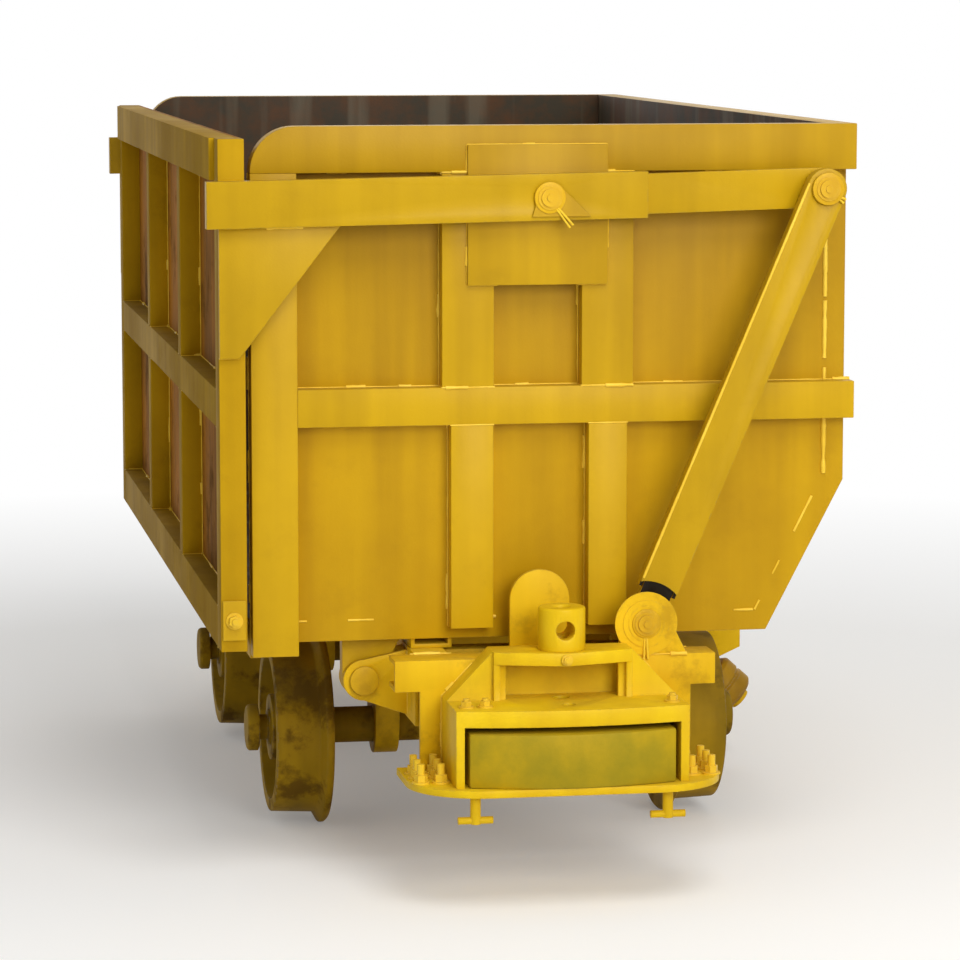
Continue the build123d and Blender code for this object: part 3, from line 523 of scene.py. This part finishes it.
def lines_mesh(runs):
    """A mesh with one edge for each run, which carries the girth of its bead."""
    mesh = bpy.data.meshes.new("runs")
    points = [point for run in runs for point in run[:2]]
    mesh.from_pydata(points, [(i, i + 1) for i in range(0, len(points), 2)], [])
    girth = mesh.attributes.new("girth", "FLOAT", "POINT")
    for i, (_, _, thick) in enumerate(runs):
        girth.data[2 * i].value = girth.data[2 * i + 1].value = thick
    return mesh


def stitched(start, end, dash, gap, hand, thick):
    """A line broken by a welder's unsteady hand into stitches and gaps of about these lengths."""
    shortest = 0.006
    start, end = Vector(start), Vector(end)
    length = (end - start).length
    along = (end - start).normalized()
    found = []
    reached = gap * hand.uniform(0.0, 1.0)
    while reached < length:
        stop = min(length, reached + dash * hand.uniform(0.4, 1.6))
        if stop - reached > shortest:
            found.append((start + along * reached, start + along * stop,
                          thick * hand.uniform(0.7, 1.2)))
        reached = stop + gap * hand.uniform(0.4, 1.8)
    return found


def laid(runs, seed, rim=1.456, outer=-1.0):
    """Beads for the seams below the rim: one thin pass, with heavier stitches over it."""
    thin_pass = 0.32
    hand = random.Random(seed)
    found = []
    for start, end in runs:
        if max(start.z, end.z) < rim and max(start.x, end.x) > outer:
            found.append((start, end, thin_pass))
            found += stitched(start, end, dash=0.045, gap=0.16, hand=hand, thick=0.85)
    return found


# Paler than the plates' enamel: a painted highlight on the beads.
weld_enamel = coated_steel("alkyd enamel on weld metal", coat="#f0cc48", shade="#dfb224",
                           rust="#a07a20", dust="#dcbc50", gloss=0.26, rust_share=0.1,
                           dust_share=0.2, wear_share=0.0)
weld = bead_tree()

# The shell's edge shows through the end wall as a broken bead, along the sheets' middle: nearly
# whole beside the upright side, and only spots of weld along the slope and the floor
wall_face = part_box("tub_end_walls")[1].y
side_x = (side_low.x + side_high.x) / 2
floor_z = (floor_low.z + floor_high.z) / 2
half_sheet = 0.004
shell_line = [(side_x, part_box("top_bands")[0].z), (side_x, side_low.z + half_sheet),
              (slope_low.x + half_sheet, floor_z), (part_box("corner_posts")[1].x, floor_z)]
dashes, gaps, girths = (0.11, 0.05, 0.04), (0.012, 0.05, 0.11), (0.95, 0.55, 0.6)
welder = random.Random(11)
shell_stitches = []
for side in (-1, 1):
    corners = [(x, side * wall_face, z) for x, z in shell_line]
    for start, end, dash, gap, thick in zip(corners, corners[1:], dashes, gaps, girths):
        shell_stitches += stitched(start, end, dash, gap, welder, thick)

end_seams = seams((("end_uprights", ["tub_end_walls", "end_belts", "top_bands"]),
                   ("end_belts", ["tub_end_walls"]), ("corner_posts", ["tub_end_walls"]),
                   ("top_bands", ["tub_end_walls"]),
                   ("boss_plates", ["tub_end_walls", "top_bands", "end_uprights", "end_belts",
                                    "corner_posts"])))
side_seams = seams((("side_belt", ["tub_side"]), ("side_top_rail", ["tub_side"]),
                    ("side_uprights", ["tub_side", "side_belt", "side_top_rail"]),
                    ("slope_ribs", ["tub_slope"]), ("floor_ribs", ["tub_floor"]),
                    ("floor_bearers", ["tub_floor"]), ("door_lip", ["tub_floor"]),
                    ("hinge_arms", ["floor_bearers", "tub_floor"]),
                    ("roller_gusset", ["side_uprights", "slope_ribs", "roller_arm"])))
door_seams = seams((("door_rails", ["door_panel", "door_posts"]),
                    ("door_uprights", ["door_panel", "door_rails"]),
                    ("door_gussets", ["door_posts", "door_levers"])))
frame_seams = seams((("cross_beams", ["sills"]), ("headstocks", ["sills"]),
                     ("coupler_housings", ["headstocks"]), ("pin_sockets", ["coupler_housings"]),
                     ("buffer_shelves", ["coupler_housings"]), ("end_lugs", ["headstocks"]),
                     ("link_ears", ["headstocks"]), ("hinge_ears", ["sills"]),
                     ("axle_bearings", ["sills"])))
post_low, post_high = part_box("door_posts")
clear_edge = 0.004
door_beads = laid(door_seams, 7, rim=post_high.z - clear_edge, outer=post_low.x + clear_edge)
for name, beads, body in (("end_wall_welds", laid(end_seams, 5) + shell_stitches, "tub"),
                          ("tub_side_welds", laid(side_seams, 6), "tub"),
                          ("door_welds", door_beads, "door"),
                          ("frame_welds", laid(frame_seams, 8), "frame")):
    grown(name, lines_mesh(beads), weld, {"Finish": weld_enamel}, body)


# Bolts: zinc plated hex heads and studs with washers, run over by the spray gun. The shelf
# under each buffer is bolted to the coupler box by two rows of three on each side.
def bolt_tree():
    """Node tree: a nut on a washer with a stud end, at each point, along its facing."""
    tree, entry = modifier_tree("hex bolt", (
        ("Across Corners", "Float", 0.027), ("Head Height", "Float", 0.014),
        ("Stud Radius", "Float", 0.008), ("Stud Length", "Float", 0.012),
        ("Washer", "Float", 0.0035), ("Head Sides", "Int", 6), ("Seed", "Int", 3),
        ("Finish", "Material", None)))
    washer_over_head, washer_sides, stud_sides = 1.35, 32, 14
    head_radius = add(tree, "ShaderNodeMath", {0: entry["Across Corners"], 1: 0.5},
                      operation="MULTIPLY")
    washer_radius = add(tree, "ShaderNodeMath", {0: head_radius, 1: washer_over_head},
                        operation="MULTIPLY")
    bolt = add(tree, "GeometryNodeJoinGeometry")
    base = 0.0
    for sides, radius, tall in ((washer_sides, washer_radius, entry["Washer"]),
                                (entry["Head Sides"], head_radius, entry["Head Height"]),
                                (stud_sides, entry["Stud Radius"], entry["Stud Length"])):
        solid = add(tree, "GeometryNodeMeshCylinder", {"Vertices": sides, "Radius": radius,
                                                       "Depth": tall})
        half = add(tree, "ShaderNodeMath", {0: tall, 1: 0.5}, operation="MULTIPLY")
        middle = add(tree, "ShaderNodeMath", {0: half, 1: base}, operation="ADD")
        offset = add(tree, "ShaderNodeCombineXYZ", {"Z": middle})
        stage = add(tree, "GeometryNodeTransform", {"Geometry": solid, "Translation": offset})
        tree.links.new(stage.outputs[0], bolt.inputs[0])
        base = add(tree, "ShaderNodeMath", {0: tall, 1: base}, operation="ADD")
    facing = add(tree, "GeometryNodeInputNamedAttribute", {"Name": "facing"},
                 data_type="FLOAT_VECTOR").outputs["Attribute"]
    turn = add(tree, "FunctionNodeAlignRotationToVector", {"Vector": facing}, axis="Z")
    lowest, highest, drawn = 2, 3, 1
    spin = add(tree, "FunctionNodeRandomValue", {lowest: 0.0, highest: tau,
                                                 "Seed": entry["Seed"]}, data_type="FLOAT")
    spun = add(tree, "FunctionNodeAxisAngleToRotation", {"Axis": (0.0, 0.0, 1.0),
                                                         "Angle": spin.outputs[drawn]})
    placed = add(tree, "FunctionNodeRotateRotation", {0: turn, 1: spun}, rotation_space="LOCAL")
    copies = add(tree, "GeometryNodeInstanceOnPoints", {"Points": entry["Geometry"],
                                                        "Instance": bolt, "Rotation": placed})
    real = add(tree, "GeometryNodeRealizeInstances", {0: copies})
    painted = add(tree, "GeometryNodeSetMaterial", {"Geometry": real,
                                                    "Material": entry["Finish"]})
    add(tree, "NodeGroupOutput", {"Geometry": painted})
    return tree


def points_mesh(places):
    """Points with the direction that a bolt on each of them faces."""
    mesh = bpy.data.meshes.new("places")
    mesh.from_pydata([place for place, _ in places], [], [])
    facing = mesh.attributes.new("facing", "FLOAT_VECTOR", "POINT")
    for i, (_, direction) in enumerate(places):
        facing.data[i].vector = direction
    return mesh


def at_both_ends(x, out, z):
    """A place on the end that looks outwards along the track, at both ends of the cart."""
    return [((x, side * out, z), (0, side, 0)) for side in (-1, 1)]


hex_bolt = bolt_tree()
# The bolts' coat is paler than the cart's yellow: a painted highlight.
bolt_steel = coated_steel("zinc plated bolt under overspray", coat="#e8c230", shade="#d6ac24",
                          rust="#8a6820", dust="#c0a24c", gloss=0.30, rust_share=0.15,
                          dust_share=0.2, wear_share=0.3, worn="#d0b860")
stud_columns, stud_rows = (-0.278, -0.240, 0.240, 0.278), (0.150, 0.196, 0.242)
nut_columns, nut_row = (-0.196, -0.160, 0.196), 0.266
table_height, crown_row, crown_drop = 0.145, 0.2415, 0.012
housing_low, housing_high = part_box("coupler_housings")
shelf_top, table_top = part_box("buffer_shelves")[1].z, housing_low.z + table_height
up = (0, 0, 1)
shelf_studs = [((x, side * (wall_face + row), shelf_top), up)
               for side in (-1, 1) for x in stud_columns for row in stud_rows]
table_nuts = [((x, side * (wall_face + nut_row), table_top), up)
              for side in (-1, 1) for x in nut_columns]
crown_nuts = at_both_ends(0.0, wall_face + crown_row, housing_high.z - crown_drop)
stud_over_head = 0.29
for name, places, across, tall, stud in (("shelf_studs", shelf_studs, 0.025, 0.013, 0.020),
                                         ("table_nuts", table_nuts, 0.021, 0.009, 0.005),
                                         ("crown_nuts", crown_nuts, 0.016, 0.006, 0.002)):
    grown(name, points_mesh(places), hex_bolt,
          {"Finish": bolt_steel, "Across Corners": across, "Head Height": tall,
           "Stud Radius": across * stud_over_head, "Stud Length": stud}, "frame")


# Pin ends: each linkage pin ends in a turned shoulder and a drilled centre on its washer, and is
# kept by a split pin of 5 mm wire whose legs stand out beside the washer.
def split_pin(centre, side, out, toward, near, far):
    """Two legs of wire that leave a pin's rim in one direction, a little apart at their tips."""
    x, z = centre
    long_spread, short_start, short_spread, short_girth = 0.003, 0.0035, 0.005, 0.9
    along = Vector((cos(toward), 0, sin(toward)))
    across = Vector((-sin(toward), 0, cos(toward)))
    root = Vector((x, side * out, z)) + along * near
    tip = Vector((x, side * out, z)) + along * far
    return [(root, tip + across * long_spread, 1.0),
            (root - across * short_start, tip - across * short_spread, short_girth)]


pin_wire = {"Finish": bolt_steel, "Bead Radius": 0.0025, "Ripple Spacing": 0.006,
            "Lumpiness": 0.05}
wire_start = 0.024
for node, body, toward, recess, length in (("lever_pins", "tub", radians(-52), 0.0015, 0.044),
                                           ("lever_end_pins", "door", radians(-35), 0.003, 0.016),
                                           ("link_pins", "frame", radians(-90), 0.003, 0.044)):
    pin_x, pin_z, reach = middle_of(node)
    grown(node + "_ends", points_mesh(at_both_ends(pin_x, reach, pin_z)), hex_bolt,
          {"Finish": pin_steel, "Head Sides": 28, "Across Corners": 0.034, "Head Height": 0.004,
           "Stud Radius": 0.007, "Stud Length": 0.0025, "Washer": 0.002}, body)
    legs = [leg for side in (-1, 1)
            for leg in split_pin((pin_x, pin_z), side, reach - recess, toward, wire_start,
                                 wire_start + length)]
    grown(node + "_split_pins", lines_mesh(legs), weld, pin_wire, body)

# Rings and edge beads: a turned ring is seated on each ear round the rod's lower pin, in the
# rod's hollow. The rod's upper edge carries a bead of the pale weld enamel from its foot's eye
# to its head, which stands for a painted highlight along that edge.
ear_face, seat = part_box("link_ears")[1].y, 0.0005
grown("eye_discs", points_mesh(at_both_ends(rod_foot.x, ear_face - seat, rod_foot.z)), hex_bolt,
      {"Finish": frame_enamel, "Head Sides": 40, "Across Corners": 0.090, "Washer": 0.0035,
       "Head Height": 0.0015, "Stud Radius": 0.035, "Stud Length": 0.001}, "frame")
rod_half_width, foot_end, head_end, bead_girth = 0.0365, 0.078, 0.004, 0.75
along = (rod_head - rod_foot).normalized()
upper_edge = Vector((-along.z, 0, along.x)) * rod_half_width
bead_start = rod_foot + along * foot_end + upper_edge
bead_stop = rod_head - along * head_end + upper_edge
highlight_beads = [(bead_start + Vector((0, side * rod_face, 0)),
               bead_stop + Vector((0, side * rod_face, 0)), bead_girth) for side in (-1, 1)]
grown("rod_highlight_beads", lines_mesh(highlight_beads), weld,
      {"Finish": weld_enamel, "Lumpiness": 0.22, "Bead Radius": 0.0038}, "links")


# Keeper plates and post feet: small flame cut plates. The keeper lies on the lever below its
# pin, and the plate at the foot of each door post is bolted through the post.
def plates(name, outline, inner, outer, finish, body):
    """Flat plates with broken edges, at both ends of the cart, that ride on a body."""
    piece = in_scene(name, end_plates(name, outline, inner, outer))
    piece.data.materials.append(finish)
    bevel = piece.modifiers.new("broken edges", "BEVEL")
    bevel.width = 0.0012
    bevel.segments = 2
    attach(piece, body)


keeper_x, keeper_z, keeper_reach = middle_of("lever_pins")
keeper_from_pin = ((-0.034, -0.036), (0.080, -0.036), (0.016, 0.026), (-0.016, 0.026))
keeper_back, keeper_front = keeper_reach - 0.0055, keeper_reach - 0.0025
keeper = [(keeper_x + x, keeper_z + z) for x, z in keeper_from_pin]
plates("lever_keepers", keeper, keeper_back, keeper_front, rib_enamel, "tub")
foot_inset, foot_start, foot_stop, foot_thickness = 0.003, 0.022, 0.098, 0.005
foot_left, foot_right = post_low.x + foot_inset, post_high.x - foot_inset
foot_low, foot_high = post_low.z + foot_start, post_low.z + foot_stop
foot = [(foot_left, foot_low), (foot_right, foot_low), (foot_right, foot_high),
        (foot_left, foot_high)]
foot_face = post_high.y + foot_thickness
plates("door_post_feet", foot, post_high.y - seat, foot_face, rib_enamel, "door")
foot_bolts = at_both_ends((foot_left + foot_right) / 2, foot_face - seat,
                          (foot_low + foot_high) / 2)
grown("door_foot_bolts", points_mesh(foot_bolts), hex_bolt,
      {"Finish": bolt_steel, "Across Corners": 0.024, "Head Height": 0.010,
       "Stud Radius": 0.006, "Stud Length": 0.004}, "door")

# Camera: the photograph looks along the track from the door's side, a little above the rim.
# A long lens keeps the cart's front nearly square, and the camera is turned, not shifted.
camera_data = bpy.data.cameras.new("camera")
camera_data.lens = 146
camera_data.sensor_width = 36
camera = in_scene("camera", camera_data)
camera.location = (-1.38, -8.40, 1.70)
aim = Vector((-0.150, -1.25, 0.800))
camera.rotation_euler = (aim - camera.location).to_track_quat("-Z", "Y").to_euler()
bpy.context.scene.camera = camera


# Floor and light: a pale seamless floor under soft studio lamps, the key high on the right, so
# that the door's side is in shade. The backdrop is white to the camera and in reflections.
def seen_directly(tree):
    """1 for rays from the camera and for reflected or refracted ones."""
    path = add(tree, "ShaderNodeLightPath").outputs
    mirrored = add(tree, "ShaderNodeMath", {0: path["Is Glossy Ray"],
                                            1: path["Is Transmission Ray"]},
                   operation="MAXIMUM")
    return add(tree, "ShaderNodeMath", {0: path["Is Camera Ray"], 1: mirrored},
               operation="MAXIMUM")


floor_material = bpy.data.materials.new("pale studio floor")
floor_tree = cleared(floor_material)
matt = add(floor_tree, "ShaderNodeBsdfDiffuse", {"Color": linear("#ecebe8")})
lift = add(floor_tree, "ShaderNodeEmission", {"Color": linear("#ffffff"), "Strength": 0.18})
near = add(floor_tree, "ShaderNodeAddShader", {0: matt, 1: lift})
white = add(floor_tree, "ShaderNodeEmission", {"Color": linear("#ffffff"), "Strength": 1.0})
floor_place = add(floor_tree, "ShaderNodeTexCoord").outputs["Object"]
distance = add(floor_tree, "ShaderNodeVectorMath", {0: floor_place}, operation="LENGTH")
fade_starts, fade_ends = 2.2, 5.0
far_share = add(floor_tree, "ShaderNodeMapRange", {"Value": distance.outputs["Value"],
                                                   "From Min": fade_starts,
                                                   "From Max": fade_ends})
far = add(floor_tree, "ShaderNodeMixShader", {0: far_share, 1: near, 2: white})
floor_look = add(floor_tree, "ShaderNodeMixShader", {0: seen_directly(floor_tree), 1: matt,
                                                     2: far})
add(floor_tree, "ShaderNodeOutputMaterial", {"Surface": floor_look})
floor_reach = 60.0
floor_level = -0.0005
floor_mesh = bpy.data.meshes.new("floor")
floor_mesh.from_pydata([(x * floor_reach, y * floor_reach, floor_level)
                        for x, y in ((-1, -1), (1, -1), (1, 1), (-1, 1))], [], [(0, 1, 2, 3)])
floor_mesh.materials.append(floor_material)
floor = in_scene("studio_floor", floor_mesh)

lamp_aim = Vector((0, 0, 0.7))
for name, place, size, watts in (("key", (1.7, -8.4, 3.2), 3.5, 350),
                                 ("fill", (-6.0, -5.5, 3.0), 4.5, 20),
                                 ("top", (0.3, -4.6, 5.4), 2.5, 130),
                                 ("rim", (1.5, 6.5, 5.5), 4.0, 120)):
    lamp_data = bpy.data.lights.new(name, "AREA")
    lamp_data.shape = "SQUARE"
    lamp_data.size = size
    lamp_data.energy = watts
    lamp = in_scene(name, lamp_data)
    lamp.location = place
    lamp.rotation_euler = (lamp_aim - lamp.location).to_track_quat("-Z", "Y").to_euler()

world = bpy.data.worlds.new("studio")
bpy.context.scene.world = world
sky_tree = cleared(world)
glow = add(sky_tree, "ShaderNodeBackground", {"Color": linear("#f2f3f5"), "Strength": 0.44})
backdrop = add(sky_tree, "ShaderNodeBackground", {"Color": linear("#ffffff"), "Strength": 1.0})
sky = add(sky_tree, "ShaderNodeMixShader", {0: seen_directly(sky_tree), 1: glow, 2: backdrop})
add(sky_tree, "ShaderNodeOutputWorld", {"Surface": sky})
bpy.context.scene.view_settings.view_transform = "Standard"
